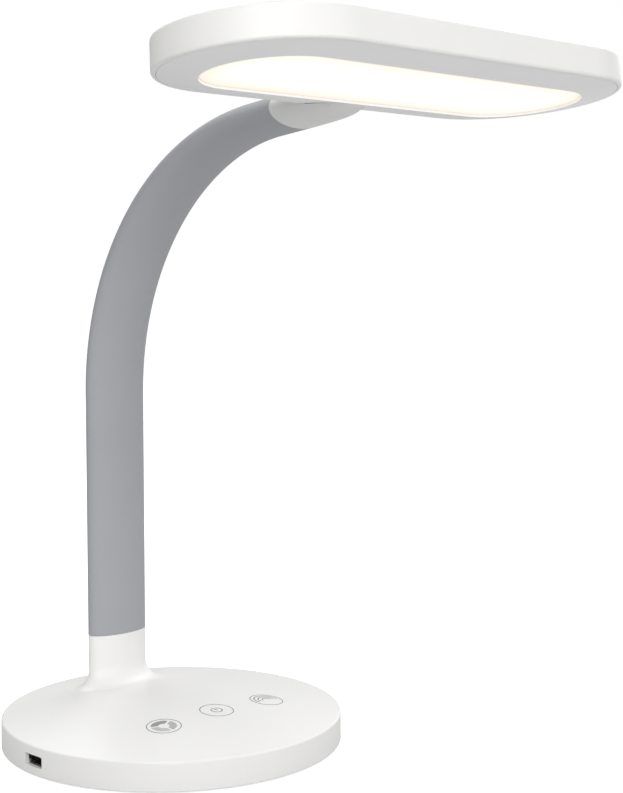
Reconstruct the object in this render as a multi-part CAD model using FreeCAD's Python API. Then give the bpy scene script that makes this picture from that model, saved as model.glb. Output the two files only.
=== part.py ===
import FreeCAD, Part
import math
import os

# Light therapy lamp: round weighted base with three touch icons, an oval flexible neck and a
# stadium-shaped light head.  Millimetres.  +Z is up, -Y is the user's side, +X is the user's
# right.  The origin is the centre of the foot pad's face.

V = FreeCAD.Vector

# ------------------------------------------------------------------ driving dimensions
FOOT_T = 1.0            # foot pad thickness
R_BASE = 95.0           # base radius
Z_RIM = 16.6            # height of the base's side wall
DOME_H = 9.13           # rise of the shallow dome above the rim
SHELL_T = 2.5           # base housing wall
R_IN = R_BASE - SHELL_T
PLATE_T = 2.0           # bottom plate
BALLAST_R = 88.0
BALLAST_T = 6.5
RIM_FILLET = 1.2

NECK_Y = 51.8           # neck axis behind the base's centre
COLLAR_TOP = 52.95      # top of the collar that is moulded on the base
NP, NQ = 19.55, 8.9     # semi-axes of the oval neck: across and fore-aft
COLLAR_WALL = 1.6
COLLAR_FLARE = 11.0     # flare between collar and dome
ARC_Z = 192.6           # height at which the neck starts to curve
ARC_R = 148.4           # radius of the neck's curve
HEAD_TILT = 6.428       # front edge of the head above level, degrees
TAIL = 23.7             # straight stretch after the curve
ARC_A = 90.0 - HEAD_TILT

CORE_R, CORE_BORE = 6.0, 3.6
CUP_R = 6.08
SLEEVE_BORE = 6.35
CABLE_R = 1.7
STUD_R = 5.0
NUT_AF, NUT_T = 14.0, 4.0

# pivots along the neck, measured from the collar top: distance, bending axis, half-angle of the gap
PIVOTS = [
    (22.0, "x", 5.6),
    (50.0, "x", 5.6),
    (78.0, "n", 6.6),
    (106.0, "x", 5.6),
    (148.0, "x", 8.6),
    (200.0, "x", 8.6),
    (252.0, "x", 8.6),
    (304.0, "x", 8.6),
]
GAP = 0.15              # half the gap between two links at the pivot

HEAD_Y, HEAD_Z = -175.885, 349.054   # centre of the head's lower outline
HC = 81.95              # half-distance between the head's end centres
HR = 52.70              # end radius of the head's lower outline
HR_TOP = 51.945
HEAD_H = 15.24
HEAD_T = 2.2
SEAM = 0.2
BEZEL_R = HR - HEAD_T - SEAM
DIFF_R = 32.45          # end radius of the light opening
BEZEL_DROP = 2.6
DIFF_Z, DIFF_T = -1.4, 2.0

Z_PLATE0 = FOOT_T
Z_PLATE1 = Z_PLATE0 + PLATE_T
Z_BAL1 = Z_PLATE1 + BALLAST_T
FLANGE_T = 3.0
Z_FL1 = Z_BAL1 + FLANGE_T
PCB_Z0, PCB_Z1 = 12.1, 13.7
USB_Y, USB_Z = -2.6, 8.7
DC_Z = 9.05
ICON_Y, ICON_X = -38.5, 36.5
BASE_SCREW = 49.5

os.makedirs("parts", exist_ok=True)


def export(name, shape):
    shape.exportStep("parts/%s.step" % name)
    print("%-22s solids %2d  volume %10.1f  valid %s" % (name, len(shape.Solids), shape.Volume, shape.isValid()))


def cyl(r, z0, z1, x=0.0, y=0.0):
    return Part.makeCylinder(r, z1 - z0, V(x, y, z0))


def box(x0, x1, y0, y1, z0, z1):
    return Part.makeBox(x1 - x0, y1 - y0, z1 - z0, V(x0, y0, z0))


def fuse(shapes):
    s = shapes[0]
    if len(shapes) > 1:
        s = s.multiFuse(shapes[1:])
    return s.removeSplitter()


def cut(shape, tools):
    for t in tools:
        shape = shape.cut(t)
    return shape


def solid_of(shape):
    solids = sorted(shape.Solids, key=lambda s: -s.Volume)
    return solids[0]


def hexprism(af, z0, z1):
    r = af / math.sqrt(3.0)
    pts = [V(r * math.cos(math.radians(60 * k)), r * math.sin(math.radians(60 * k)), z0) for k in range(7)]
    return Part.Face(Part.makePolygon(pts)).extrude(V(0, 0, z1 - z0))


def round_box(cx, cy, w, h, r, z0, z1):
    """Box with rounded upright edges."""
    b = box(cx - w / 2, cx + w / 2, cy - h / 2, cy + h / 2, z0, z1)
    edges = [e for e in b.Edges if abs(e.Vertexes[0].Point.z - e.Vertexes[1].Point.z) > 1e-6]
    return b.makeFillet(r, edges)


def screw(x, y, z_head, z_seat, z_tip, r_head, r):
    """Pan-head screw along Z: head from z_head to z_seat, shank on to z_tip."""
    a, b = min(z_head, z_seat), max(z_head, z_seat)
    c, d = min(z_seat, z_tip), max(z_seat, z_tip)
    return fuse([cyl(r_head, a, b, x, y), cyl(r, c, d, x, y)])


# ------------------------------------------------------------------ the neck's centre line
ARC_L = math.radians(ARC_A) * ARC_R
S1 = ARC_Z - COLLAR_TOP
S2 = S1 + ARC_L
S_END = S2 + TAIL


def frame_at(s):
    """Point on the centre line and its angle from vertical, in degrees."""
    if s <= S1:
        return V(0, NECK_Y, COLLAR_TOP + s), 0.0
    if s <= S2:
        a = (s - S1) / ARC_R
        return V(0, NECK_Y - ARC_R * (1 - math.cos(a)), ARC_Z + ARC_R * math.sin(a)), math.degrees(a)
    a = math.radians(ARC_A)
    d = s - S2
    return (
        V(0, NECK_Y - ARC_R * (1 - math.cos(a)) - d * math.sin(a), ARC_Z + ARC_R * math.sin(a) + d * math.cos(a)),
        ARC_A,
    )


def tangent(a):
    return V(0, -math.sin(math.radians(a)), math.cos(math.radians(a)))


def profile(p, q, s, bore=0.0):
    """Oval or round face across the centre line at s, with a round hole if bore is given."""
    point, a = frame_at(s)
    if abs(p - q) < 1e-9:
        edge = Part.Circle(V(0, 0, 0), V(0, 0, 1), p).toShape()
    else:
        edge = Part.Ellipse(V(0, 0, 0), p, q).toShape()
    face = Part.Face(Part.Wire([edge]))
    if bore:
        face = face.cut(Part.Face(Part.Wire([Part.Circle(V(0, 0, 0), V(0, 0, 1), bore).toShape()]))).Faces[0]
    face.Placement = FreeCAD.Placement(point, FreeCAD.Rotation(V(1, 0, 0), a))
    return face


def sweep(p, q, s0, s1, bore=0.0):
    """Solid of the oval p x q along the centre line from s0 to s1: straights and one true arc."""
    out = []
    for lo, hi, kind in ((-1e3, S1, "line"), (S1, S2, "arc"), (S2, 1e4, "line")):
        a, b = max(s0, lo), min(s1, hi)
        if b - a < 1e-6:
            continue
        face = profile(p, q, a, bore)
        if kind == "line":
            out.append(face.extrude(tangent(frame_at(a)[1]) * (b - a)))
        else:
            out.append(face.revolve(V(0, NECK_Y - ARC_R, ARC_Z), V(1, 0, 0), math.degrees((b - a) / ARC_R)))
    return fuse(out)


def wedge(s, axis, alpha, side):
    """The two half-spaces beyond a pivot at s; side +1 removes what lies past it, -1 what lies before it."""
    point, a = frame_at(s)
    t = tangent(a) * side
    n = V(0, math.cos(math.radians(a)), math.sin(math.radians(a)))
    b = n if axis == "x" else V(1, 0, 0)
    tools = []
    for sign in (1, -1):
        normal = t * math.cos(math.radians(alpha)) + b * (sign * math.sin(math.radians(alpha)))
        block = Part.makeBox(120, 120, 30, V(-60, -60, 0))
        block.Placement = FreeCAD.Placement(point - t * GAP, FreeCAD.Rotation(V(0, 0, 1), normal))
        tools.append(block)
    return tools


def ball(s, r):
    return Part.makeSphere(r, frame_at(s)[0])


def half_ball(s, r, bore):
    """The half of a ball that lies past the pivot at s, bored along the neck."""
    point, a = frame_at(s)
    return Part.makeSphere(r, point, tangent(a), 0, 90, 360).cut(axial(s, bore, -1.0, r + 1.0))


def axial(s, r, d0, d1):
    """Cylinder along the tangent at s, from d0 to d1."""
    point, a = frame_at(s)
    return Part.makeCylinder(r, d1 - d0, point + tangent(a) * d0, tangent(a))


# ------------------------------------------------------------------ the head's own frame
HEAD = FreeCAD.Placement(V(0, HEAD_Y, HEAD_Z), FreeCAD.Rotation(V(1, 0, 0), -HEAD_TILT))


# end of the sleeve and height of the neck's axis, in the head's frame
NECK_END = HEAD.inverse().multVec(frame_at(S_END)[0])
TAIL_Y, AX_Z = NECK_END.y, NECK_END.z
print("neck end in the head's frame: y %.3f  z %.3f" % (TAIL_Y, AX_Z))


def to_head(shape):
    s = shape.copy()
    s.Placement = HEAD.multiply(s.Placement)
    return s


def stadium(r0, z0, r1, z1):
    """Stadium-shaped plug about the head's long axis, end radius r0 at z0 and r1 at z1."""
    h = z1 - z0
    ends = []
    for x in (-HC, HC):
        if abs(r0 - r1) < 1e-9:
            ends.append(Part.makeCylinder(r0, h, V(x, 0, z0)))
        else:
            ends.append(Part.makeCone(r0, r1, h, V(x, 0, z0)))
    wire = Part.makePolygon([V(-HC, -r0, z0), V(-HC, r0, z0), V(-HC, r1, z1), V(-HC, -r1, z1), V(-HC, -r0, z0)])
    mid = Part.Face(wire).extrude(V(2 * HC, 0, 0))
    return fuse([mid] + ends)


def loop_edges(shape, z, r, tol=0.05):
    """Edges of a stadium outline of end radius r at height z."""
    out = []
    for e in shape.Edges:
        pts = [e.valueAt(e.FirstParameter + (e.LastParameter - e.FirstParameter) * k / 4.0) for k in range(5)]
        ok = True
        for p in pts:
            d = math.hypot(max(abs(p.x) - HC, 0.0), p.y)
            if abs(p.z - z) > tol or abs(d - r) > tol:
                ok = False
        if ok:
            out.append(e)
    return out


def tube_path(points, radii):
    """Straight runs joined by tangent arcs."""
    edges = []
    start = points[0]
    for k in range(1, len(points) - 1):
        a, b, c = points[k - 1], points[k], points[k + 1]
        u = (a - b).normalize()
        w = (c - b).normalize()
        turn = math.pi - u.getAngle(w)
        r = radii[k - 1]
        t = r * math.tan(turn / 2)
        p, q = b + u * t, b + w * t
        bis = (u + w).normalize()
        centre = b + bis * (r / math.cos(turn / 2))
        mid = centre - bis * r
        edges.append(Part.LineSegment(start, p).toShape())
        edges.append(Part.Arc(p, mid, q).toShape())
        start = q
    edges.append(Part.LineSegment(start, points[-1]).toShape())
    return Part.Wire(edges)


def tube(points, radii, r):
    wire = tube_path(points, radii)
    d = (points[1] - points[0]).normalize()
    section = Part.Wire([Part.Circle(points[0], d, r).toShape()])
    s = wire.makePipeShell([section], True, False)
    print("   tube length %.1f volume ratio %.4f" % (wire.Length, s.Volume / (wire.Length * math.pi * r * r)))
    return s


# ================================================================== BASE
def revolved(points_fn):
    return Part.Face(points_fn).revolve(V(0, 0, 0), V(0, 0, 1), 360)


def dome_profile(radius, z_low, z_rim, rise, fillet):
    """Half section of a low drum with a domed top, as a closed wire in the XZ plane."""
    sphere_r = (radius * radius + rise * rise) / (2 * rise)
    zc = z_rim + rise - sphere_r
    # rounded top edge: circle of the fillet radius inside both the wall and the dome
    cx = radius - fillet
    cz = zc + math.sqrt((sphere_r - fillet) ** 2 - cx * cx)
    d = V(cx, 0, cz - zc).normalize()
    tip = V(cx, 0, cz) + d * fillet
    wall = V(radius, 0, cz)
    m = (V(1, 0, 0) + d).normalize()
    mid = V(cx, 0, cz) + m * fillet
    apex = V(0, 0, z_rim + rise)
    a = math.atan2(tip.x, tip.z - zc) / 2
    dome_mid = V(sphere_r * math.sin(a), 0, zc + sphere_r * math.cos(a))
    return Part.Wire(
        [
            Part.LineSegment(V(0, 0, z_low), V(radius, 0, z_low)).toShape(),
            Part.LineSegment(V(radius, 0, z_low), wall).toShape(),
            Part.Arc(wall, mid, tip).toShape(),
            Part.Arc(tip, dome_mid, apex).toShape(),
            Part.LineSegment(apex, V(0, 0, z_low)).toShape(),
        ]
    )


outer = revolved(dome_profile(R_BASE, Z_PLATE0, Z_RIM, DOME_H, RIM_FILLET))
inner = revolved(dome_profile(R_IN, Z_PLATE0 - 1.0, Z_RIM - SHELL_T, DOME_H, 0.6))


def oval(p, q, z0, z1):
    edge = Part.Ellipse(V(0, 0, 0), p, q).toShape()
    face = Part.Face(Part.Wire([edge]))
    face.Placement = FreeCAD.Placement(V(0, NECK_Y, z0), FreeCAD.Rotation())
    return face.extrude(V(0, 0, z1 - z0))


collar = oval(NP, NQ, 12.0, COLLAR_TOP)
housing = outer.fuse(collar).removeSplitter()
seam = []
for e in housing.Edges:
    bb = e.BoundBox
    if bb.XLength > 2 * NP - 3 and bb.XLength < 2 * NP + 3 and bb.ZMax < 30 and bb.YMin > 30:
        seam.append(e)
housing = housing.makeFillet(COLLAR_FLARE, seam)
# soft top edge of the collar
top = [e for e in housing.Edges if abs(e.BoundBox.ZMin - COLLAR_TOP) < 1e-3 and abs(e.BoundBox.ZMax - COLLAR_TOP) < 1e-3]
housing = housing.makeChamfer(0.35, top)
bottom_edge = [
    e
    for e in housing.Edges
    if abs(e.BoundBox.ZMax - Z_PLATE0) < 1e-3 and e.BoundBox.XLength > 2 * R_BASE - 1
]
housing = housing.makeFillet(0.6, bottom_edge)
housing = housing.cut(inner)
bosses = []
for sx in (-1, 1):
    for sy in (-1, 1):
        bosses.append(cyl(4.0, Z_BAL1 + 0.1, 24.0, sx * BASE_SCREW, sy * BASE_SCREW))
for b in bosses:
    housing = housing.fuse(b.common(outer))
housing = housing.removeSplitter()
tools = [oval(NP - COLLAR_WALL, NQ - COLLAR_WALL, 10.0, COLLAR_TOP + 1)]
for sx in (-1, 1):
    for sy in (-1, 1):
        tools.append(cyl(1.65, Z_BAL1 - 1, Z_BAL1 + 9.0, sx * BASE_SCREW, sy * BASE_SCREW))
# socket opening in the side wall, on the user's left
usb_cut = box(-R_BASE - 3, -R_BASE + 6, USB_Y - 7.4, USB_Y + 7.4, USB_Z - 3.1, USB_Z + 3.1)
usb_cut = usb_cut.makeFillet(
    1.0, [e for e in usb_cut.Edges if abs(e.Vertexes[0].Point.x - e.Vertexes[1].Point.x) > 1e-6]
)
tools.append(usb_cut)
# power inlet at the back
tools.append(Part.makeCylinder(4.5, 14, V(0, 86, DC_Z), V(0, 1, 0)))
housing = solid_of(cut(housing, tools))
export("base_housing", housing)

plate_cut = []
for sx in (-1, 1):
    for sy in (-1, 1):
        plate_cut.append(cyl(2.2, 0, 20, sx * BASE_SCREW, sy * BASE_SCREW))
        plate_cut.append(Part.makeCone(4.2, 2.2, 1.8, V(sx * BASE_SCREW, sy * BASE_SCREW, Z_PLATE0)))
plate = cyl(R_IN - 0.2, Z_PLATE0, Z_PLATE1)
# ribs that centre the ballast
plate = fuse([plate, cut(cyl(R_IN - 0.6, Z_PLATE1 - 0.5, Z_PLATE1 + 4.0), [cyl(R_IN - 2.2, Z_PLATE1 - 1.0, Z_PLATE1 + 5.0)])])
plate = cut(plate, plate_cut)
plate = cut(
    plate,
    [
        box(-R_BASE, -70, USB_Y - 9, USB_Y + 9, Z_PLATE1, 20),
        box(-9, 9, 70, R_BASE, Z_PLATE1, 20),
    ],
)
export("base_bottom_plate", solid_of(plate))

foot = cyl(90.0, 0.0, FOOT_T)
foot_edge = [e for e in foot.Edges if abs(e.BoundBox.ZMax) < 1e-6]
foot = foot.makeChamfer(0.25, foot_edge)
export("foot_pad", foot)

STANDOFFS = [(-56.0, -18.0), (56.0, -18.0), (-24.0, -51.0), (24.0, -51.0), (-70.0, 5.0)]
FLANGE_SCREWS = [(-13.0, NECK_Y - 9.5), (13.0, NECK_Y - 9.5), (-13.0, NECK_Y + 9.5), (13.0, NECK_Y + 9.5)]
ballast = cyl(BALLAST_R, Z_PLATE1, Z_BAL1)
tools = [
    box(-R_BASE, -75.5, USB_Y - 9.5, USB_Y + 9.5, 0, 20),
    box(-10, 10, 70, R_BASE, 0, 20),
    cyl(9.6, 0, 20, 0, NECK_Y),
]
for sx in (-1, 1):
    for sy in (-1, 1):
        tools.append(cyl(2.3, 0, 20, sx * BASE_SCREW, sy * BASE_SCREW))
for x, y in STANDOFFS:
    tools.append(cyl(1.5, Z_BAL1 - 4.6, Z_BAL1 + 1, x, y))
for x, y in FLANGE_SCREWS:
    tools.append(cyl(2.0, Z_BAL1 - 5.6, Z_BAL1 + 1, x, y))
ballast = solid_of(cut(ballast, tools))
export("ballast_plate", ballast)

group = []
for sx in (-1, 1):
    for sy in (-1, 1):
        x, y = sx * BASE_SCREW, sy * BASE_SCREW
        group.append(
            fuse([Part.makeCone(3.9, 2.0, 1.75, V(x, y, Z_PLATE0 + 0.02)), cyl(2.0, Z_PLATE0 + 1.7, Z_BAL1, x, y), cyl(1.6, Z_BAL1 - 0.5, Z_BAL1 + 8.0, x, y)])
        )
export("base_screws", Part.makeCompound(group))

flange = round_box(0, NECK_Y, 36.0, 28.0, 4.0, Z_BAL1, Z_FL1)
flange = cut(flange, [cyl(STUD_R + 0.05, 0, 30, 0, NECK_Y)] + [cyl(2.15, 0, 30, x, y) for x, y in FLANGE_SCREWS])
export("neck_flange", solid_of(flange))
export(
    "flange_screws",
    Part.makeCompound([screw(x, y, Z_FL1 + 2.0, Z_FL1, Z_BAL1 - 5.0, 3.6, 1.95) for x, y in FLANGE_SCREWS]),
)
nut = hexprism(NUT_AF, Z_BAL1 - NUT_T, Z_BAL1)
nut.translate(V(0, NECK_Y, 0))
nut = nut.cut(cyl(STUD_R + 0.03, 0, 30, 0, NECK_Y))
export("core_nut_base", nut)

board = fuse([box(-90.5, -50, USB_Y - 9.5, 9.0, PCB_Z0, PCB_Z1), box(-62, 62, -56, -5, PCB_Z0, PCB_Z1)])
tools = [cyl(4.6, 0, 30, sx * BASE_SCREW, -BASE_SCREW) for sx in (-1, 1)]
tools += [cyl(1.6, 0, 30, x, y) for x, y in STANDOFFS]
board = solid_of(cut(board, tools))
export("control_board", board)
export(
    "board_standoffs",
    Part.makeCompound([cyl(2.8, Z_BAL1, PCB_Z0, x, y).cut(cyl(1.55, 0, 30, x, y)) for x, y in STANDOFFS]),
)
export(
    "board_screws",
    Part.makeCompound([screw(x, y, PCB_Z1 + 1.4, PCB_Z1, Z_BAL1 - 4.0, 2.6, 1.4) for x, y in STANDOFFS]),
)

# conductive foam pads under the three touch icons
pads = []
gap_inner = revolved(dome_profile(R_IN - 0.1, Z_PLATE0 - 1.0, Z_RIM - SHELL_T - 0.08, DOME_H, 0.6))
for x in (-ICON_X, 0.0, ICON_X):
    pads.append(cyl(7.0, PCB_Z1, 26, x, ICON_Y).common(gap_inner))
export("touch_pads", Part.makeCompound([solid_of(p) for p in pads]))

# socket for a charging plug: folded shell, tongue with its insulator, four contacts
xf, xb = -91.3, -78.4
shell = box(xf, xb, USB_Y - 6.55, USB_Y + 6.55, USB_Z - 2.86, USB_Z + 2.86)
shell = shell.makeFillet(0.6, [e for e in shell.Edges if abs(e.Vertexes[0].Point.x - e.Vertexes[1].Point.x) > 1e-6])
hollow = box(xf - 1, xb + 1, USB_Y - 6.25, USB_Y + 6.25, USB_Z - 2.56, USB_Z + 2.56)
shell = shell.cut(hollow)
export("usb_shell", solid_of(shell))
tongue = fuse(
    [
        box(-89.6, -82.0, USB_Y - 5.6, USB_Y + 5.6, USB_Z + 0.35, USB_Z + 2.2),
        box(-82.5, xb, USB_Y - 6.2, USB_Y + 6.2, USB_Z - 2.5, USB_Z + 2.5),
    ]
)
tongue = cut(tongue, [box(-88.8, -82.5, USB_Y + y - 0.6, USB_Y + y + 0.6, USB_Z, USB_Z + 0.55) for y in (-3.5, -1.0, 1.0, 3.5)])
export("usb_tongue", solid_of(tongue))
export(
    "usb_contacts",
    Part.makeCompound([box(-88.6, -82.5, USB_Y + y - 0.5, USB_Y + y + 0.5, USB_Z + 0.30, USB_Z + 0.52) for y in (-3.5, -1.0, 1.0, 3.5)]),
)

# power inlet: round jack with its centre pin
YF, YB = 92.3, 79.3
jack = Part.makeCylinder(4.3, YF - YB, V(0, YB, DC_Z), V(0, 1, 0))
jack = jack.fuse(box(-5.4, 5.4, YB, YF - 5.0, DC_Z - 5.4, DC_Z + 4.6)).removeSplitter()
jack = jack.cut(Part.makeCylinder(3.15, 20, V(0, YB + 3.5, DC_Z), V(0, 1, 0)))
jack = jack.cut(Part.makeCylinder(1.0, 20, V(0, YB + 1.0, DC_Z), V(0, 1, 0)))
export("dc_jack_body", solid_of(jack))
pin = Part.makeCylinder(1.0, 9.6, V(0, YB + 1.0, DC_Z), V(0, 1, 0))
pin = pin.makeFillet(0.4, [e for e in pin.Edges if e.BoundBox.YMin > YB + 10.0])
export("dc_jack_pin", pin)
dc_points = [V(0, YB, DC_Z), V(0, 75.0, DC_Z), V(-14.0, 72.5, 13.0), V(-30.0, 57.0, 13.6), V(-34.5, 25.0, 13.6), V(-33.0, 4.0, 15.6), V(-33.0, -9.0, 15.45)]
export("dc_lead", tube(dc_points, [2.0, 6.0, 14.0, 16.0, 14.0], 1.5))

# parts soldered on the board
comp = [
    round_box(18, -22, 10, 10, 1.2, PCB_Z1, PCB_Z1 + 4.5),
    box(34, 41, -26, -20, PCB_Z1, PCB_Z1 + 1.6),
    box(-20, -14, -24, -18, PCB_Z1, PCB_Z1 + 1.2),
]
for x, y in ((30.0, -12.0), (40.0, -12.0), (-44.0, -14.0)):
    comp.append(cyl(3.15, PCB_Z1, PCB_Z1 + 5.4, x, y))
export("board_components", Part.makeCompound(comp))
socket = box(-4.0, 4.0, -13.0, -6.0, PCB_Z1, PCB_Z1 + 4.8)
export("lead_socket_base", socket)

# ================================================================== NECK
core_base = fuse([sweep(CORE_R, CORE_R, Z_FL1 - COLLAR_TOP, PIVOTS[0][0]), ball(PIVOTS[0][0], CORE_R), cyl(STUD_R, Z_PLATE1 + 1.5, Z_FL1 + 0.5, 0, NECK_Y)])
core_base = cut(
    core_base,
    [
        cyl(CORE_BORE, 0, COLLAR_TOP + PIVOTS[0][0] + 8, 0, NECK_Y),
        box(-2.2, 2.2, NECK_Y - 10, NECK_Y, Z_FL1 + 1.0, 23.0),
    ],
)
export("neck_core_base", solid_of(core_base))

bend = 8.0
cable_z = PCB_Z1 + 2.4
path_points = [V(0, -6.0, cable_z), V(0, NECK_Y, cable_z), V(0, NECK_Y, COLLAR_TOP + PIVOTS[0][0])]
cable = tube(path_points, [bend], CABLE_R)
cable = cut(cable, wedge(PIVOTS[0][0], PIVOTS[0][1], PIVOTS[0][2], 1))
export("neck_cable_base", solid_of(cable))

sl = fuse([sweep(NP, NQ, 0.0, PIVOTS[0][0]), sweep(NP - COLLAR_WALL - 0.15, NQ - COLLAR_WALL - 0.15, -12.0, 0.5)])
sl = cut(sl, [sweep(CORE_R + 0.05, CORE_R + 0.05, -14.0, PIVOTS[0][0] + 8)] + wedge(PIVOTS[0][0], PIVOTS[0][1], PIVOTS[0][2], 1))
export("sleeve_base", solid_of(sl))

for k in range(len(PIVOTS) - 1):
    s0, ax0, al0 = PIVOTS[k]
    s1, ax1, al1 = PIVOTS[k + 1]
    core = sweep(CORE_R, CORE_R, s0, s1, CORE_BORE).cut(ball(s0, CUP_R))
    core = fuse([solid_of(core), half_ball(s1, CORE_R, CORE_BORE)])
    export("neck_core_%d" % (k + 1), solid_of(core))
    ends = wedge(s0, ax0, al0, -1) + wedge(s1, ax1, al1, 1)
    sl = cut(sweep(NP, NQ, s0, s1, SLEEVE_BORE), ends)
    export("sleeve_%d" % (k + 1), solid_of(sl))
    export("neck_cable_%d" % (k + 1), solid_of(cut(sweep(CABLE_R, CABLE_R, s0, s1), ends)))

s0, ax0, al0 = PIVOTS[-1]
ends = wedge(s0, ax0, al0, -1)
SPIGOT = 10.0
STUD_L = 9.6
core_head = fuse(
    [
        solid_of(sweep(CORE_R, CORE_R, s0, S_END + SPIGOT, CORE_BORE).cut(ball(s0, CUP_R))),
        sweep(STUD_R, STUD_R, S_END + SPIGOT, S_END + SPIGOT + STUD_L, CORE_BORE),
    ]
)
export("neck_core_head", solid_of(core_head))
sl = fuse(
    [
        sweep(NP, NQ, s0, S_END, SLEEVE_BORE),
        sweep(NP - COLLAR_WALL - 0.15, NQ - COLLAR_WALL - 0.15, S_END, S_END + SPIGOT - 0.2, SLEEVE_BORE),
    ]
)
sl = cut(sl, ends)
export("sleeve_head", solid_of(sl))

# cable through the head end of the core and up to the light board
y_exit = TAIL_Y - SPIGOT - STUD_L + 0.6
cable_top = 6.2
mid_a = [V(0, TAIL_Y, AX_Z), V(0, y_exit - 3.0, AX_Z), V(0, 44.5, cable_top), V(0, 40.3, cable_top)]
lead = tube(mid_a, [6.0, 6.0], CABLE_R)
cable_head = fuse([cut(sweep(CABLE_R, CABLE_R, s0, S_END), ends), to_head(lead)])
export("neck_cable_head", solid_of(cable_head))

# ================================================================== HEAD (own frame, then placed)
shell = stadium(HR, 0.0, HR_TOP, HEAD_H)
shell = shell.makeFillet(1.6, loop_edges(shell, HEAD_H, HR_TOP))
shell = shell.makeFillet(1.5, loop_edges(shell, 0.0, HR))
draft = (HR - HR_TOP) / HEAD_H
hz = HEAD_H - HEAD_T
cavity = stadium(HR - HEAD_T + draft, -1.0, HR - HEAD_T - draft * hz, hz)
shell = shell.cut(cavity)

# connector: the oval of the neck, tapering to a rounded tongue under the head
SECTIONS = [
    (TAIL_Y - 0.03, NP, NQ),
    (67.0, 19.30, 8.90),
    (62.0, 18.85, 8.90),
    (57.0, 18.20, 8.90),
    (52.5, 17.40, 8.90),
    (48.5, 16.50, 8.87),
    (45.0, 15.70, 8.70),
    (42.0, 14.95, 8.35),
    (39.5, 14.20, 7.85),
    (37.5, 13.40, 7.25),
    (36.0, 12.60, 6.65),
    (34.8, 11.80, 6.10),
    (33.8, 10.90, 5.50),
    (33.1, 10.10, 4.95),
    (32.6, 9.30, 4.40),
]


def section_wire(y, a, b):
    edge = Part.Ellipse(V(0, 0, 0), a, b).toShape()
    w = Part.Wire([edge])
    w.Placement = FreeCAD.Placement(V(0, y, AX_Z), FreeCAD.Rotation(V(1, 0, 0), 90))
    return w


loft = Part.makeLoft([section_wire(*s) for s in SECTIONS], True, False)
grown = Part.makeLoft([section_wire(y, a + 0.1, b + 0.1) for y, a, b in SECTIONS], True, False)

Z_SP0, Z_SP1 = 9.6, 11.1          # heat spreader
Z_LB0 = 8.1                       # light board
Z_LED0 = 7.3
SCREW_AT = [(-70.0, -41.0), (70.0, -41.0), (0.0, -41.0), (-70.0, 41.0), (70.0, 41.0), (-122.0, 0.0), (122.0, 0.0)]
for x, y in SCREW_AT:
    shell = shell.fuse(cyl(3.0, Z_SP1, hz + 0.5, x, y))
shell = shell.removeSplitter()
shell = cut(shell, [cyl(1.15, Z_SP1 - 1, HEAD_H - 0.8, x, y) for x, y in SCREW_AT])
rear = grown.common(box(-30, 30, 49.5, 60, -12, 14))
shell = solid_of(shell.cut(rear))
export("head_housing", to_head(shell))

bezel = fuse([stadium(DIFF_R, -BEZEL_DROP, BEZEL_R, 0.0), stadium(BEZEL_R, 0.0, BEZEL_R, 0.8)])
upstand = stadium(BEZEL_R - 0.3, 0.5, BEZEL_R - 0.55, 5.0).cut(stadium(BEZEL_R - 1.9, 0.0, BEZEL_R - 2.15, 6.0))
bezel = fuse([bezel, upstand])
bezel = cut(bezel, [stadium(DIFF_R, -4.0, DIFF_R, 2.0), stadium(DIFF_R + 1.85, DIFF_Z, DIFF_R + 1.85, 2.0)])
bezel = cut(bezel, [box(-11.6, 11.6, 38.4, 60, -6, 9), box(-17.0, 17.0, 38.3, 60, 0.8, 9)])
bezel = cut(bezel, [grown.common(box(-30, 30, 49.5, 60, -12, 14))])
export("head_bezel", to_head(solid_of(bezel)))

# underside volume that the tongue may fill: everything lower than the bezel's sloping face
wedge_up = fuse([stadium(DIFF_R, -BEZEL_DROP, HR, 0.05), stadium(HR, 0.0, HR, 20.0)])
wedge_up = wedge_up.common(box(-40, 40, 0, 50.4, -5, 25))
tongue_part = loft.cut(wedge_up)
BLOCK_Y0, BLOCK_Y1 = 38.5, 50.6
conn = fuse(
    [
        tongue_part,
        box(-11.5, 11.5, BLOCK_Y0, BLOCK_Y1, -3.0, 1.5),
        box(-16.2, 16.2, BLOCK_Y0, BLOCK_Y1 - 0.9, 0.9, Z_SP0),
    ]
)


def along_y(p, q, y0, y1):
    """Oval bore along the neck axis in the head's frame."""
    w = section_wire(y1, p, q) if abs(p - q) > 1e-9 else None
    if w is None:
        return Part.makeCylinder(p, y1 - y0, V(0, y0, AX_Z), V(0, 1, 0))
    return Part.Face(w).extrude(V(0, y0 - y1, 0))


Y_WALL = TAIL_Y - SPIGOT
conn = cut(
    conn,
    [
        along_y(NP - COLLAR_WALL, NQ - COLLAR_WALL, Y_WALL - 0.03, TAIL_Y + 1),
        along_y(STUD_R + 0.05, STUD_R + 0.05, 50, TAIL_Y),
        box(-8.7, 8.7, 41.0, Y_WALL - 3.6, AX_Z - 5.3, AX_Z + 7.25),
        box(-8.7, 8.7, Y_WALL - 8.1, Y_WALL - 3.6, AX_Z - 7.25, AX_Z + 7.25),
        box(-8.7, 8.7, BLOCK_Y0 - 1, BLOCK_Y1 - 0.5, 2.2, Z_SP0 + 1),
    ],
)
CONN_SCREWS = [(-12.6, 41.3), (12.6, 41.3), (-12.6, 46.8), (12.6, 46.8)]
conn = cut(conn, [cyl(1.25, 2.0, Z_SP0 + 1, x, y) for x, y in CONN_SCREWS])
conn = solid_of(conn)
export("head_connector", to_head(conn))
export(
    "connector_screws",
    to_head(
        Part.makeCompound(
            [fuse([Part.makeCone(1.2, 2.6, 1.45, V(x, y, Z_SP0 + 0.02)), cyl(1.2, 2.4, Z_SP0 + 0.3, x, y)]) for x, y in CONN_SCREWS]
        )
    ),
)
nut = hexprism(NUT_AF, 0, NUT_T)
nut = nut.cut(cyl(STUD_R + 0.03, -1, 10))
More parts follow.
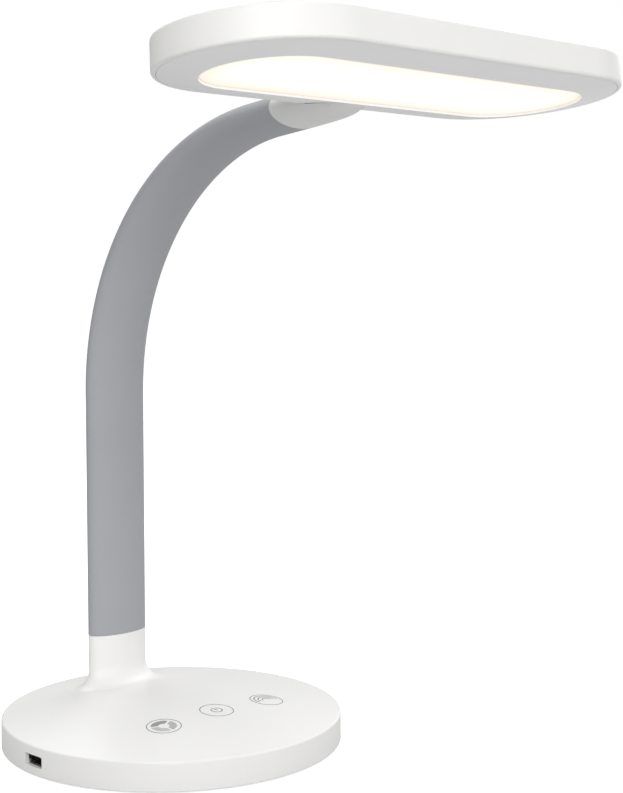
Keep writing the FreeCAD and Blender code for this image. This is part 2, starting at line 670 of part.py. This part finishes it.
nut.Placement = FreeCAD.Placement(V(0, Y_WALL - 3.6, AX_Z), FreeCAD.Rotation(V(1, 0, 0), 90))
export("core_nut_head", to_head(nut))

spread = stadium(47.6, Z_SP0, 47.6, Z_SP1)
tools = [cyl(1.4, 0, 20, x, y) for x, y in SCREW_AT]
for x, y in CONN_SCREWS:
    tools += [Part.makeCone(1.3, 2.75, 1.5, V(x, y, Z_SP0)), cyl(1.3, 5, 20, x, y)]
LB_SCREWS = [(-105.0, 0.0), (-52.5, 0.0), (0.0, 0.0), (52.5, 0.0), (105.0, 0.0)]
tools += [cyl(1.15, 5, 20, x, y) for x, y in LB_SCREWS]
spread = solid_of(cut(spread, tools))
export("heat_spreader", to_head(spread))
export(
    "spreader_screws",
    to_head(Part.makeCompound([screw(x, y, Z_SP0 - 1.5, Z_SP0, HEAD_H - 1.1, 2.4, 1.1) for x, y in SCREW_AT])),
)
light = fuse([stadium(34.0, Z_LB0, 34.0, Z_SP0), box(-8.3, 8.3, 20, 40.4, Z_LB0, Z_SP0)])
light = solid_of(cut(light, [cyl(1.4, 0, 20, x, y) for x, y in LB_SCREWS]))
export("led_board", to_head(light))
export(
    "led_board_screws",
    to_head(Part.makeCompound([screw(x, y, Z_LB0 - 1.1, Z_LB0, Z_SP1 - 0.1, 2.1, 1.1) for x, y in LB_SCREWS])),
)
chips = []
for row, y in enumerate((-22.5, -7.5, 7.5, 22.5)):
    for k in range(-7, 8):
        x = k * 14.0
        if math.hypot(max(abs(x) - HC, 0.0), y) < 31.0:
            chips.append(box(x - 1.75, x + 1.75, y - 1.4, y + 1.4, Z_LED0, Z_LB0))
export("leds", to_head(Part.makeCompound(chips)))
refl = stadium(34.2, DIFF_Z + DIFF_T + 0.05, 36.0, Z_LB0 - 0.05).cut(stadium(33.4, DIFF_Z + DIFF_T - 0.05, 35.25, Z_LB0 + 0.05))
export("reflector", to_head(solid_of(refl)))
export("diffuser", to_head(stadium(DIFF_R + 1.75, DIFF_Z, DIFF_R + 1.75, DIFF_Z + DIFF_T)))
export("led_socket", to_head(box(-4.5, 4.5, 36.6, 40.25, 5.0, Z_LB0)))
print("neck length from collar to connector %.1f" % S_END, "head end of sleeve", frame_at(S_END)[0])
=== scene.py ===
import math

import bmesh
import bpy
from mathutils import Matrix, Vector


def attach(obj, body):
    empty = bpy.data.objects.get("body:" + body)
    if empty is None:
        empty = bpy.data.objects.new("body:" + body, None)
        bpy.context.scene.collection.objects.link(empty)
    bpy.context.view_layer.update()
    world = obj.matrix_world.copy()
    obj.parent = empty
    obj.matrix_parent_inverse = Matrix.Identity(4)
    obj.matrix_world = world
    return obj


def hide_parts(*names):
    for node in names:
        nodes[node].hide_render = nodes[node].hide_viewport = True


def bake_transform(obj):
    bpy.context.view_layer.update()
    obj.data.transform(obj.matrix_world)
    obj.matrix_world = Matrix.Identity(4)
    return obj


# Light therapy lamp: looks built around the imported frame.  Lengths in the helpers are millimetres
# and are turned to metres when a mesh is made.  +Z is up, -Y the user's side, +X the user's right.

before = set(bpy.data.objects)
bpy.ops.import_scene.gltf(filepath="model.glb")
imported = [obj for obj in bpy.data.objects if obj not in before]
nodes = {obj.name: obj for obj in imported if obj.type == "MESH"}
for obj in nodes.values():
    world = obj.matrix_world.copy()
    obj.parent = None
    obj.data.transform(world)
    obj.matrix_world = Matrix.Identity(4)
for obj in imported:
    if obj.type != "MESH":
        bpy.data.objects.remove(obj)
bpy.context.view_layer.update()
MM = 0.001

# ------------------------------------------------------------------ the CAD's dimensions
R_BASE, Z_RIM, DOME_H = 95.0, 16.6, 9.13
DOME_R = (R_BASE**2 + DOME_H**2) / (2 * DOME_H)
DOME_C = Z_RIM + DOME_H - DOME_R
NECK_Y, COLLAR_TOP = 51.8, 52.95
NP, NQ = 19.55, 8.9
ARC_Z, ARC_R, HEAD_TILT, TAIL = 192.6, 148.4, 6.428, 23.7
ARC_A = math.radians(90.0 - HEAD_TILT)
S1 = ARC_Z - COLLAR_TOP
S2 = S1 + ARC_A * ARC_R
S_END = S2 + TAIL
HEAD_Y, HEAD_Z = -175.885, 349.054
HC, DIFF_R = 81.95, 32.45
TILT = math.radians(HEAD_TILT)
SLEEVE_IN, SLEEVE_OUT = 1.75, 7.2
ICON_X, ICON_Y, ICON_R = 36.5, -38.5, 9.24


def neck(s):
    """Centre line of the neck at distance s from the collar: (y, z, angle from vertical)."""
    if s <= S1:
        return NECK_Y, COLLAR_TOP + s, 0.0
    a = min((s - S1) / ARC_R, ARC_A)
    d = max(s - S2, 0.0)
    y = NECK_Y - ARC_R * (1 - math.cos(a)) - d * math.sin(a)
    z = ARC_Z + ARC_R * math.sin(a) + d * math.cos(a)
    return y, z, a


# ------------------------------------------------------------------ materials
def tree(name):
    m = bpy.data.materials.new(name)
    m.use_nodes = True
    nt = m.node_tree
    nt.nodes.clear()
    out = nt.nodes.new("ShaderNodeOutputMaterial")
    bsdf = nt.nodes.new("ShaderNodeBsdfPrincipled")
    nt.links.new(bsdf.outputs["BSDF"], out.inputs["Surface"])
    return m, nt, bsdf


def object_coords(nt):
    return nt.nodes.new("ShaderNodeTexCoord").outputs["Object"]


def noise(nt, vector, scale, detail=2.0, rough=0.5, stretch=None):
    if stretch is not None:
        mp = nt.nodes.new("ShaderNodeMapping")
        mp.inputs["Scale"].default_value = stretch
        nt.links.new(vector, mp.inputs["Vector"])
        vector = mp.outputs["Vector"]
    n = nt.nodes.new("ShaderNodeTexNoise")
    n.inputs["Scale"].default_value = scale
    n.inputs["Detail"].default_value = detail
    n.inputs["Roughness"].default_value = rough
    nt.links.new(vector, n.inputs["Vector"])
    return n.outputs["Fac"]


def ramp(nt, value, stops):
    r = nt.nodes.new("ShaderNodeValToRGB")
    r.color_ramp.interpolation = "LINEAR"
    while len(r.color_ramp.elements) < len(stops):
        r.color_ramp.elements.new(0.5)
    for e, (p, c) in zip(r.color_ramp.elements, stops):
        e.position = p
        e.color = (*c, 1.0)
    nt.links.new(value, r.inputs["Fac"])
    return r.outputs["Color"]


def spread(nt, value, lo, hi):
    m = nt.nodes.new("ShaderNodeMapRange")
    m.inputs["From Min"].default_value = 0.3
    m.inputs["From Max"].default_value = 0.7
    m.inputs["To Min"].default_value = lo
    m.inputs["To Max"].default_value = hi
    nt.links.new(value, m.inputs["Value"])
    return m.outputs["Result"]


def bump(nt, bsdf, height, strength, distance):
    b = nt.nodes.new("ShaderNodeBump")
    b.inputs["Strength"].default_value = strength
    b.inputs["Distance"].default_value = distance
    nt.links.new(height, b.inputs["Height"])
    nt.links.new(b.outputs["Normal"], bsdf.inputs["Normal"])


def shaded(name, low, high, rough, rough_span=0.04, patch=22.0, grain=1400.0, grain_depth=0.00002,
           grain_strength=0.25, metallic=0.0, specular=0.5, coat=0.0, coat_rough=0.2, sheen=0.0, stretch=None):
    """Surface with a slow drift of colour between low and high, and a fine grain in roughness and bump."""
    m, nt, bsdf = tree(name)
    oc = object_coords(nt)
    drift = noise(nt, oc, patch, 3.0, 0.55, stretch)
    nt.links.new(ramp(nt, drift, [(0.32, low), (0.68, high)]), bsdf.inputs["Base Color"])
    fine = noise(nt, oc, grain, 2.0, 0.6, stretch)
    nt.links.new(spread(nt, fine, rough - rough_span, rough + rough_span), bsdf.inputs["Roughness"])
    bump(nt, bsdf, fine, grain_strength, grain_depth)
    bsdf.inputs["Metallic"].default_value = metallic
    bsdf.inputs["Specular IOR Level"].default_value = specular
    if coat:
        bsdf.inputs["Coat Weight"].default_value = coat
        bsdf.inputs["Coat Roughness"].default_value = coat_rough
    if sheen:
        bsdf.inputs["Sheen Weight"].default_value = sheen
        bsdf.inputs["Sheen Roughness"].default_value = 0.5
    return m


def grey(v):
    return (v, v, v)


MAT = {
    "white": shaded("moulded_white", (0.795, 0.79, 0.778), (0.815, 0.81, 0.80), 0.36, 0.03, 14.0, 1800.0, 0.000012, 0.12, specular=0.45),
    # head_connector is the housing's white plastic made darker: painted shade standing in for the shadow under the head
    "connector": shaded("connector_white_painted_shade", (0.655, 0.653, 0.648), (0.675, 0.673, 0.668), 0.42, 0.03, 14.0, 1800.0, 0.000012, 0.12, specular=0.4),
    # head_bezel is the housing's white plastic set a little lighter: painted light lifting the shaded underside (the
    # wall glow added further down is painted light too)
    "bezel": shaded("bezel_white_painted_light", (0.812, 0.812, 0.812), (0.828, 0.828, 0.828), 0.42, 0.03, 14.0, 1800.0, 0.000012, 0.12, specular=0.4),
    "plate": shaded("plate_white", (0.70, 0.70, 0.69), (0.74, 0.74, 0.73), 0.55, 0.05, 20.0, 900.0, 0.00006, 0.5),
    "silicone": shaded("grey_silicone", (0.336, 0.343, 0.360), (0.352, 0.359, 0.376), 0.62, 0.04, 9.0, 1500.0, 0.00002, 0.2, specular=0.35),
    "pad": shaded("pad_rubber", (0.085, 0.085, 0.088), (0.11, 0.11, 0.113), 0.8, 0.06, 30.0, 500.0, 0.00015, 0.6),
    "steel": shaded("plain_steel", (0.45, 0.46, 0.47), (0.55, 0.56, 0.57), 0.38, 0.08, 40.0, 700.0, 0.00003, 0.4, metallic=1.0, stretch=(1.0, 12.0, 1.0)),
    "zinc": shaded("zinc_steel", (0.58, 0.60, 0.62), (0.70, 0.70, 0.68), 0.3, 0.06, 120.0, 900.0, 0.00002, 0.4, metallic=1.0),
    "bright": shaded("nickel_bright", (0.66, 0.66, 0.67), (0.74, 0.74, 0.75), 0.2, 0.05, 90.0, 1500.0, 0.00001, 0.2, metallic=1.0),
    "core": shaded("coil_steel", (0.32, 0.33, 0.34), (0.44, 0.45, 0.46), 0.35, 0.06, 60.0, 600.0, 0.00005, 0.6, metallic=1.0, stretch=(1.0, 1.0, 10.0)),
    "board": shaded("board_green", (0.012, 0.085, 0.035), (0.02, 0.115, 0.05), 0.3, 0.05, 60.0, 500.0, 0.00005, 0.4, coat=0.3),
    "ledboard": shaded("led_board_white", (0.74, 0.75, 0.75), (0.80, 0.81, 0.81), 0.35, 0.05, 60.0, 500.0, 0.00003, 0.3),
    "foam": shaded("conductive_foam", (0.02, 0.02, 0.022), (0.05, 0.05, 0.052), 0.95, 0.04, 200.0, 900.0, 0.0003, 0.9),
    "black": shaded("moulded_black", (0.010, 0.010, 0.011), (0.018, 0.018, 0.019), 0.35, 0.05, 60.0, 1200.0, 0.00003, 0.3),
    "gold": shaded("gold_contact", (0.72, 0.50, 0.16), (0.80, 0.58, 0.22), 0.25, 0.05, 90.0, 900.0, 0.00002, 0.3, metallic=1.0),
    "cable": shaded("cable_sheath", (0.035, 0.035, 0.037), (0.05, 0.05, 0.052), 0.55, 0.05, 40.0, 900.0, 0.00004, 0.4),
    "cream": shaded("socket_cream", (0.66, 0.62, 0.50), (0.72, 0.68, 0.56), 0.4, 0.05, 60.0, 900.0, 0.00003, 0.3),
    "aluminium": shaded("sheet_aluminium", (0.62, 0.62, 0.63), (0.72, 0.72, 0.73), 0.35, 0.07, 30.0, 900.0, 0.00003, 0.4, metallic=1.0, stretch=(1.0, 14.0, 1.0)),
    "film": shaded("reflector_film", (0.86, 0.86, 0.86), (0.90, 0.90, 0.90), 0.2, 0.04, 30.0, 900.0, 0.00002, 0.2),
    "print_dark": shaded("print_dark", (0.085, 0.083, 0.081), (0.105, 0.103, 0.10), 0.5, 0.04, 90.0, 1800.0, 0.00001, 0.2),
    "print_mid": shaded("print_mid", (0.40, 0.397, 0.39), (0.425, 0.422, 0.415), 0.5, 0.04, 90.0, 1800.0, 0.00001, 0.2),
    "print_deep": shaded("print_deep", (0.26, 0.257, 0.252), (0.285, 0.282, 0.277), 0.5, 0.04, 90.0, 1800.0, 0.00001, 0.2),
    "print_light": shaded("print_light", (0.47, 0.465, 0.455), (0.50, 0.495, 0.485), 0.5, 0.04, 90.0, 1800.0, 0.00001, 0.2),
}


def led_material():
    m = shaded("led_chip", (0.80, 0.58, 0.10), (0.86, 0.66, 0.16), 0.3, 0.05, 300.0, 900.0, 0.00002, 0.3)
    bsdf = [n for n in m.node_tree.nodes if n.type == "BSDF_PRINCIPLED"][0]
    bsdf.inputs["Emission Color"].default_value = (1.0, 0.86, 0.62, 1.0)
    bsdf.inputs["Emission Strength"].default_value = 1.2
    return m


DIFF_STRENGTH = 1.0


def opening_distance(nt, oc):
    """Distance from the long middle line of the head, the same all along the edge of the light opening."""

    def dot(axis):
        v = nt.nodes.new("ShaderNodeVectorMath")
        v.operation = "DOT_PRODUCT"
        nt.links.new(oc, v.inputs[0])
        v.inputs[1].default_value = axis
        return v.outputs["Value"]

    def math_node(op, a, b=None):
        n = nt.nodes.new("ShaderNodeMath")
        n.operation = op
        for k, x in enumerate((a, b)):
            if x is None:
                continue
            if isinstance(x, (int, float)):
                n.inputs[k].default_value = x
            else:
                nt.links.new(x, n.inputs[k])
        return n.outputs["Value"]

    ay = (0.0, math.cos(TILT), -math.sin(TILT))
    y0 = (HEAD_Y * ay[1] + HEAD_Z * ay[2]) * MM
    x = math_node("ABSOLUTE", dot((1.0, 0.0, 0.0)))
    y = math_node("SUBTRACT", dot(ay), y0)
    dx = math_node("MAXIMUM", math_node("SUBTRACT", x, HC * MM), 0.0)
    d = math_node("SQRT", math_node("ADD", math_node("MULTIPLY", dx, dx), math_node("MULTIPLY", y, y)))
    return d, math_node


def diffuser_material():
    """Opal sheet, lit from behind: white in the middle, warmer and a little darker towards its rim, with a thin brown
    line at the very rim that is painted shadow of the gap against the bezel.
    """
    m, nt, bsdf = tree("opal_diffuser")
    oc = object_coords(nt)

    d, math_node = opening_distance(nt, oc)
    inward = math_node("MULTIPLY", math_node("SUBTRACT", DIFF_R * MM, d), 1.0 / 0.020)
    # the first two stops, the brown within about 0.4 mm of the rim, are painted shadow of the gap; the later stops are
    # the sheet's own glow
    glow_and_rim_shadow = ramp(nt, inward, [
        (0.0, (0.50, 0.41, 0.32)),
        (0.018, (0.68, 0.59, 0.48)),
        (0.045, (0.845, 0.765, 0.645)),
        (0.20, (0.88, 0.825, 0.705)),
        (0.35, (0.90, 0.865, 0.76)),
        (0.62, (0.94, 0.925, 0.85)),
        (1.0, (1.0, 1.0, 0.985)),
    ])
    nt.links.new(glow_and_rim_shadow, bsdf.inputs["Emission Color"])
    bsdf.inputs["Emission Strength"].default_value = DIFF_STRENGTH
    fine = noise(nt, oc, 900.0, 2.0, 0.5)
    nt.links.new(ramp(nt, fine, [(0.3, (0.13, 0.128, 0.122)), (0.7, (0.15, 0.148, 0.142))]), bsdf.inputs["Base Color"])
    nt.links.new(spread(nt, fine, 0.50, 0.58), bsdf.inputs["Roughness"])
    bump(nt, bsdf, fine, 0.1, 0.00001)
    bsdf.inputs["Specular IOR Level"].default_value = 0.2
    return m


def add_bezel_painted_glow(m):
    """Painted light: a glow put on the narrow inner wall of the light opening, standing in for the light the sheet
    beside it throws there.
    """
    nt = m.node_tree
    bsdf = [n for n in nt.nodes if n.type == "BSDF_PRINCIPLED"][0]
    d, math_node = opening_distance(nt, object_coords(nt))
    # painted glow: emission of 0.27 on the opening's wall, fading out between 0.10 and 0.22 mm beyond the sheet's edge
    wall_painted_glow = nt.nodes.new("ShaderNodeMapRange")
    wall_painted_glow.interpolation_type = "SMOOTHSTEP"
    wall_painted_glow.inputs["From Min"].default_value = (DIFF_R + 0.10) * MM
    wall_painted_glow.inputs["From Max"].default_value = (DIFF_R + 0.22) * MM
    wall_painted_glow.inputs["To Min"].default_value = 0.27
    wall_painted_glow.inputs["To Max"].default_value = 0.0
    nt.links.new(d, wall_painted_glow.inputs["Value"])
    bsdf.inputs["Emission Color"].default_value = (1.0, 0.985, 0.95, 1.0)
    nt.links.new(wall_painted_glow.outputs["Result"], bsdf.inputs["Emission Strength"])


add_bezel_painted_glow(MAT["bezel"])
MAT["led"] = led_material()
MAT["diffuser"] = diffuser_material()

CAD_LOOK = {
    "base_housing": "white", "head_housing": "white", "head_connector": "connector", "head_bezel": "bezel",
    "base_bottom_plate": "plate", "foot_pad": "pad", "ballast_plate": "steel",
    "base_screws": "zinc", "flange_screws": "zinc", "core_nut_base": "zinc", "core_nut_head": "zinc",
    "board_screws": "zinc", "board_standoffs": "zinc", "connector_screws": "zinc", "spreader_screws": "zinc",
    "led_board_screws": "zinc", "neck_flange": "zinc",
    "control_board": "board", "board_components": "black", "touch_pads": "foam",
    "usb_shell": "bright", "usb_tongue": "black", "usb_contacts": "gold",
    "dc_jack_body": "black", "dc_jack_pin": "bright", "dc_lead": "cable",
    "lead_socket_base": "cream", "led_socket": "cream",
    "heat_spreader": "aluminium", "led_board": "ledboard", "leds": "led", "reflector": "film", "diffuser": "diffuser",
}
for name, obj in nodes.items():
    look = CAD_LOOK.get(name)
    if look is None:
        if name.startswith("neck_core"):
            look = "core"
        elif name.startswith("neck_cable"):
            look = "cable"
        else:
            look = "silicone"
    obj.data.materials.clear()
    obj.data.materials.append(MAT[look])


# ------------------------------------------------------------------ mesh helpers
def make_object(name, bm, material, smooth=True):
    bmesh.ops.recalc_face_normals(bm, faces=bm.faces[:])
    mesh = bpy.data.meshes.new(name)
    bm.to_mesh(mesh)
    bm.free()
    mesh.materials.append(MAT[material])
    for p in mesh.polygons:
        p.use_smooth = smooth
    o = bpy.data.objects.new(name, mesh)
    bpy.context.scene.collection.objects.link(o)
    return o


def ring(bm, s, p, q, count):
    """Ring of vertices: the oval p x q across the neck's centre line at s."""
    y, z, a = neck(s)
    out = []
    for k in range(count):
        t = 2 * math.pi * k / count
        u, v = p * math.cos(t), q * math.sin(t)
        out.append(bm.verts.new((u * MM, (y + v * math.cos(a)) * MM, (z + v * math.sin(a)) * MM)))
    return out


def bridge(bm, a, b):
    n = len(a)
    for k in range(n):
        bm.faces.new((a[k], a[(k + 1) % n], b[(k + 1) % n], b[k]))


def sharp(bm, loop):
    n = len(loop)
    for k in range(n):
        e = bm.edges.get((loop[k], loop[(k + 1) % n]))
        if e:
            e.smooth = False


COUNT = 144


def sleeve_piece(name, outer):
    """Closed length of the silicone sleeve.  outer lists (s, p, q); the bore is round and clears the core."""
    bm = bmesh.new()
    rings = [ring(bm, s, p, q, COUNT) for s, p, q in outer]
    s0, s1 = outer[0][0], outer[-1][0]
    steps = max(2, int((s1 - s0) / 2.0))
    inner = [ring(bm, s0 + (s1 - s0) * k / steps, SLEEVE_OUT, SLEEVE_OUT, COUNT) for k in range(steps + 1)]
    for a, b in zip(rings[:-1], rings[1:]):
        bridge(bm, a, b)
    for a, b in zip(inner[:-1], inner[1:]):
        bridge(bm, a, b)
    bridge(bm, rings[0], inner[0])
    bridge(bm, rings[-1], inner[-1])
    for loop in (rings[0], rings[-1], inner[0], inner[-1]):
        sharp(bm, loop)
    return make_object(name, bm, "silicone")


def steps_between(a, b, pitch=1.0):
    n = max(1, int(round((b - a) / pitch)))
    return [a + (b - a) * k / n for k in range(n + 1)]


# foot of the sleeve, with the plug that sits in the collar and a softened lower edge
root = [(-12.0, NP - 2.0, NQ - 1.86), (-0.02, NP - 2.0, NQ - 1.86), (-0.02, NP - 0.5, NQ - 0.5)]
root += [(0.02, NP - 0.34, NQ - 0.34), (0.12, NP - 0.16, NQ - 0.16), (0.28, NP - 0.05, NQ - 0.05), (0.5, NP, NQ)]
root += [(s, NP, NQ) for s in steps_between(1.0, 8.0)]
piece = sleeve_piece("sleeve_root", root)
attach(piece, "base")
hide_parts("sleeve_base")

BENDS = [
    (8.0, 36.0, "base", "neck_link_1"),
    (36.0, 64.0, "neck_link_1", "neck_link_2"),
    (64.0, 92.0, "neck_link_2", "neck_link_3"),
    (92.0, 120.0, "neck_link_3", "neck_link_4"),
    (122.0, 174.0, "neck_link_4", "neck_link_5"),
    (174.0, 226.0, "neck_link_5", "neck_link_6"),
    (226.0, 278.0, "neck_link_6", "neck_link_7"),
    (278.0, 330.0, "neck_link_7", "head"),
]
STANDS_FOR = {0: "sleeve_1", 1: "sleeve_2", 2: "sleeve_3", 4: "sleeve_5", 5: "sleeve_6", 6: "sleeve_7"}
for k, (a, b, body_a, body_b) in enumerate(BENDS):
    piece = sleeve_piece("sleeve_bend_%d" % (k + 1), [(s, NP, NQ) for s in steps_between(a, b)])
    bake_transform(piece)
    if k in STANDS_FOR:
        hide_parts(STANDS_FOR[k])

piece = sleeve_piece("sleeve_middle", [(s, NP, NQ) for s in steps_between(120.0, 122.0)])
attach(piece, "neck_link_4")
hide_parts("sleeve_4")

top = [(s, NP, NQ) for s in steps_between(330.0, S_END - 0.6)]
top += [(S_END - 0.28, NP - 0.05, NQ - 0.05), (S_END - 0.12, NP - 0.16, NQ - 0.16), (S_END - 0.02, NP - 0.34, NQ - 0.34)]
top += [(S_END + 0.0, NP - 1.9, NQ - 1.86), (S_END + 9.5, NP - 1.9, NQ - 1.86)]
piece = sleeve_piece("sleeve_top", top)
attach(piece, "head")
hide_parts("sleeve_head")


# ------------------------------------------------------------------ printed icons on the dome
def dome_z(x, y, lift):
    return DOME_C + math.sqrt((DOME_R + lift) ** 2 - x * x - y * y)


def plate_from_grid(name, grid, closed, material):
    """Thin printed patch that follows the dome.  grid is rows of (x, y) points in millimetres."""
    bm = bmesh.new()
    layers = []
    for lift in (0.045, -0.06):
        layers.append([[bm.verts.new((x * MM, y * MM, dome_z(x, y, lift) * MM)) for x, y in row] for row in grid])
    rows, cols = len(grid), len(grid[0])
    span = cols if closed else cols - 1
    for layer in layers:
        for i in range(rows - 1):
            for j in range(span):
                k = (j + 1) % cols
                bm.faces.new((layer[i][j], layer[i][k], layer[i + 1][k], layer[i + 1][j]))
    up, low = layers
    for j in range(span):
        k = (j + 1) % cols
        bm.faces.new((up[0][j], up[0][k], low[0][k], low[0][j]))
        bm.faces.new((up[-1][j], up[-1][k], low[-1][k], low[-1][j]))
    if not closed:
        for i in range(rows - 1):
            bm.faces.new((up[i][0], up[i + 1][0], low[i + 1][0], low[i][0]))
            bm.faces.new((up[i][-1], up[i + 1][-1], low[i + 1][-1], low[i][-1]))
    o = make_object(name, bm, material, smooth=False)
    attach(o, "base")
    return o


def arc_patch(name, cx, cy, r0, r1, a0, a1, material, gap=0.0):
    """Ring or arc between two radii.  gap trims both ends by a parallel distance, as between donut segments."""
    closed = abs(a1 - a0) >= 359.9
    n = max(12, int(abs(a1 - a0) / 3))
    rows = max(1, int((r1 - r0) / 1.0))
    grid = []
    for i in range(rows + 1):
        r = r0 + (r1 - r0) * i / rows
        trim = math.degrees(math.asin(min(1.0, gap / 2 / r))) if gap else 0.0
        lo, hi = a0 + trim, a1 - trim
        pts = []
        for j in range(n if closed else n + 1):
            t = math.radians(lo + (hi - lo) * j / n)
            pts.append((cx + r * math.cos(t), cy + r * math.sin(t)))
        grid.append(pts)
    return plate_from_grid(name, grid, closed, material)


def bar_patch(name, cx, cy, w, y0, y1, material):
    grid = [[(cx - w / 2, cy + y0 + (y1 - y0) * k / 6) for k in range(7)], [(cx + w / 2, cy + y0 + (y1 - y0) * k / 6) for k in range(7)]]
    return plate_from_grid(name, grid, False, material)


RING_W = 0.42
for label, x in (("left", -ICON_X), ("middle", 0.0), ("right", ICON_X)):
    arc_patch("icon_ring_" + label, x, ICON_Y, ICON_R - RING_W / 2, ICON_R + RING_W / 2, 0, 360, "print_dark")
arc_patch("icon_segment_a", -ICON_X, ICON_Y, 3.0, 6.95, 30.0, 153.0, "print_deep", gap=1.2)
arc_patch("icon_segment_b", -ICON_X, ICON_Y, 3.0, 6.95, 153.0, 270.0, "print_light", gap=1.2)
arc_patch("icon_segment_c", -ICON_X, ICON_Y, 3.0, 6.95, -90.0, 30.0, "print_mid", gap=1.2)
arc_patch("icon_power_arc", 0.0, ICON_Y, 2.85, 3.35, 112.0, 428.0, "print_dark")
bar_patch("icon_power_bar", 0.0, ICON_Y, 0.5, -0.7, 3.9, "print_dark")
for k, (r, w, a0, a1) in enumerate(((7.0, 0.6, -8.0, 195.0), (4.7, 0.55, -5.0, 192.0), (2.4, 0.5, 0.0, 190.0))):
    arc_patch("icon_dimmer_arc_%d" % (k + 1), ICON_X, ICON_Y, r - w / 2, r + w / 2, a0, a1, "print_dark")


# ------------------------------------------------------------------ stage, light and camera
def stage_material():
    m, nt, bsdf = tree("stage_white")
    oc = object_coords(nt)
    n = noise(nt, oc, 3.0, 2.0, 0.5)
    nt.links.new(ramp(nt, n, [(0.3, (0.59, 0.59, 0.59)), (0.7, (0.61, 0.61, 0.61))]), bsdf.inputs["Base Color"])
    bsdf.inputs["Roughness"].default_value = 0.9
    bsdf.inputs["Specular IOR Level"].default_value = 0.0
    bsdf.inputs["Emission Color"].default_value = (1.0, 1.0, 1.0, 1.0)
    seen = nt.nodes.new("ShaderNodeLightPath").outputs["Is Camera Ray"]
    lift = nt.nodes.new("ShaderNodeMath")
    lift.operation = "MULTIPLY"
    lift.inputs[1].default_value = 0.80
    nt.links.new(seen, lift.inputs[0])
    nt.links.new(lift.outputs["Value"], bsdf.inputs["Emission Strength"])
    return m


MAT["stage"] = stage_material()
bm = bmesh.new()
bmesh.ops.create_circle(bm, cap_ends=True, radius=30.0, segments=96)
floor = make_object("stage_floor", bm, "stage", smooth=False)

world = bpy.data.worlds.new("studio")
world.use_nodes = True
WORLD_STRENGTH = 0.45
wt = world.node_tree
background = wt.nodes["Background"]
background.inputs["Color"].default_value = (1.0, 1.0, 1.0, 1.0)
seen = wt.nodes.new("ShaderNodeLightPath").outputs["Is Camera Ray"]
level = wt.nodes.new("ShaderNodeMapRange")
level.inputs["To Min"].default_value = WORLD_STRENGTH
level.inputs["To Max"].default_value = 1.0
wt.links.new(seen, level.inputs["Value"])
wt.links.new(level.outputs["Result"], background.inputs["Strength"])
bpy.context.scene.world = world

CAM_AZ = math.radians(-43.692)
TARGET = Vector((0.0, -0.05, 0.20))
# name, azimuth from the camera's own direction (positive is to the camera's right), elevation, distance, width, height, power, colour
LIGHTS = [
    ("front", 0.0, 28.0, 2.5, 1.5, 1.5, 20.5, (1.0, 1.0, 1.0)),
    ("front_left", -22.0, 24.0, 2.5, 1.1, 1.5, 6.5, (1.0, 1.0, 1.0)),
    ("front_right", 30.0, 6.0, 2.5, 1.5, 1.5, 12.5, (1.0, 1.0, 1.0)),
    ("right", 60.0, 6.0, 2.5, 1.5, 1.5, 6.0, (1.0, 1.0, 1.0)),
    ("back_low_right", 150.0, 6.0, 2.5, 1.5, 1.5, 7.0, (1.0, 1.0, 1.0)),
    ("back_right", 150.0, 42.0, 2.5, 1.5, 1.5, 17.5, (1.0, 1.0, 1.0)),
    ("back_left", -150.0, 42.0, 2.5, 1.5, 1.5, 12.5, (1.0, 1.0, 1.0)),
    ("overhead", 0.0, 89.0, 2.2, 2.0, 2.0, 12.0, (1.0, 1.0, 1.0)),
]
for name, az, el, dist, w, h, power, colour in LIGHTS:
    data = bpy.data.lights.new(name, "AREA")
    data.shape = "RECTANGLE"
    data.size, data.size_y = w, h
    data.energy = power
    data.color = colour
    o = bpy.data.objects.new(name, data)
    a, e = CAM_AZ + math.radians(az), math.radians(el)
    out = Vector((math.sin(a) * math.cos(e), -math.cos(a) * math.cos(e), math.sin(e)))
    o.location = TARGET + out * dist
    o.rotation_mode = "QUATERNION"
    o.rotation_quaternion = out.to_track_quat("Z", "Y")
    bpy.context.scene.collection.objects.link(o)

camera_data = bpy.data.cameras.new("camera")
camera_data.sensor_width = 36.0
camera_data.lens = 1523.755 / 793.0 * 36.0
camera_data.clip_start, camera_data.clip_end = 0.05, 60.0
camera = bpy.data.objects.new("camera", camera_data)
pitch = math.radians(-4.464)
right = Vector((math.cos(CAM_AZ), math.sin(CAM_AZ), 0.0))
forward = Vector((-math.sin(CAM_AZ), math.cos(CAM_AZ), 0.0))
camera.location = Vector((math.sin(CAM_AZ) * 0.844481, -math.cos(CAM_AZ) * 0.844481, 0.258771 + 0.001)) + right * 0.078416
look = forward * math.cos(pitch) + Vector((0.0, 0.0, math.sin(pitch)))
camera.rotation_mode = "QUATERNION"
camera.rotation_quaternion = (-look).to_track_quat("Z", "Y")
bpy.context.scene.collection.objects.link(camera)
bpy.context.scene.camera = camera

bpy.context.scene.view_settings.view_transform = "Standard"
bpy.context.scene.view_settings.look = "None"
bpy.context.scene.view_settings.exposure = 0.0
bpy.context.scene.view_settings.gamma = 1.0
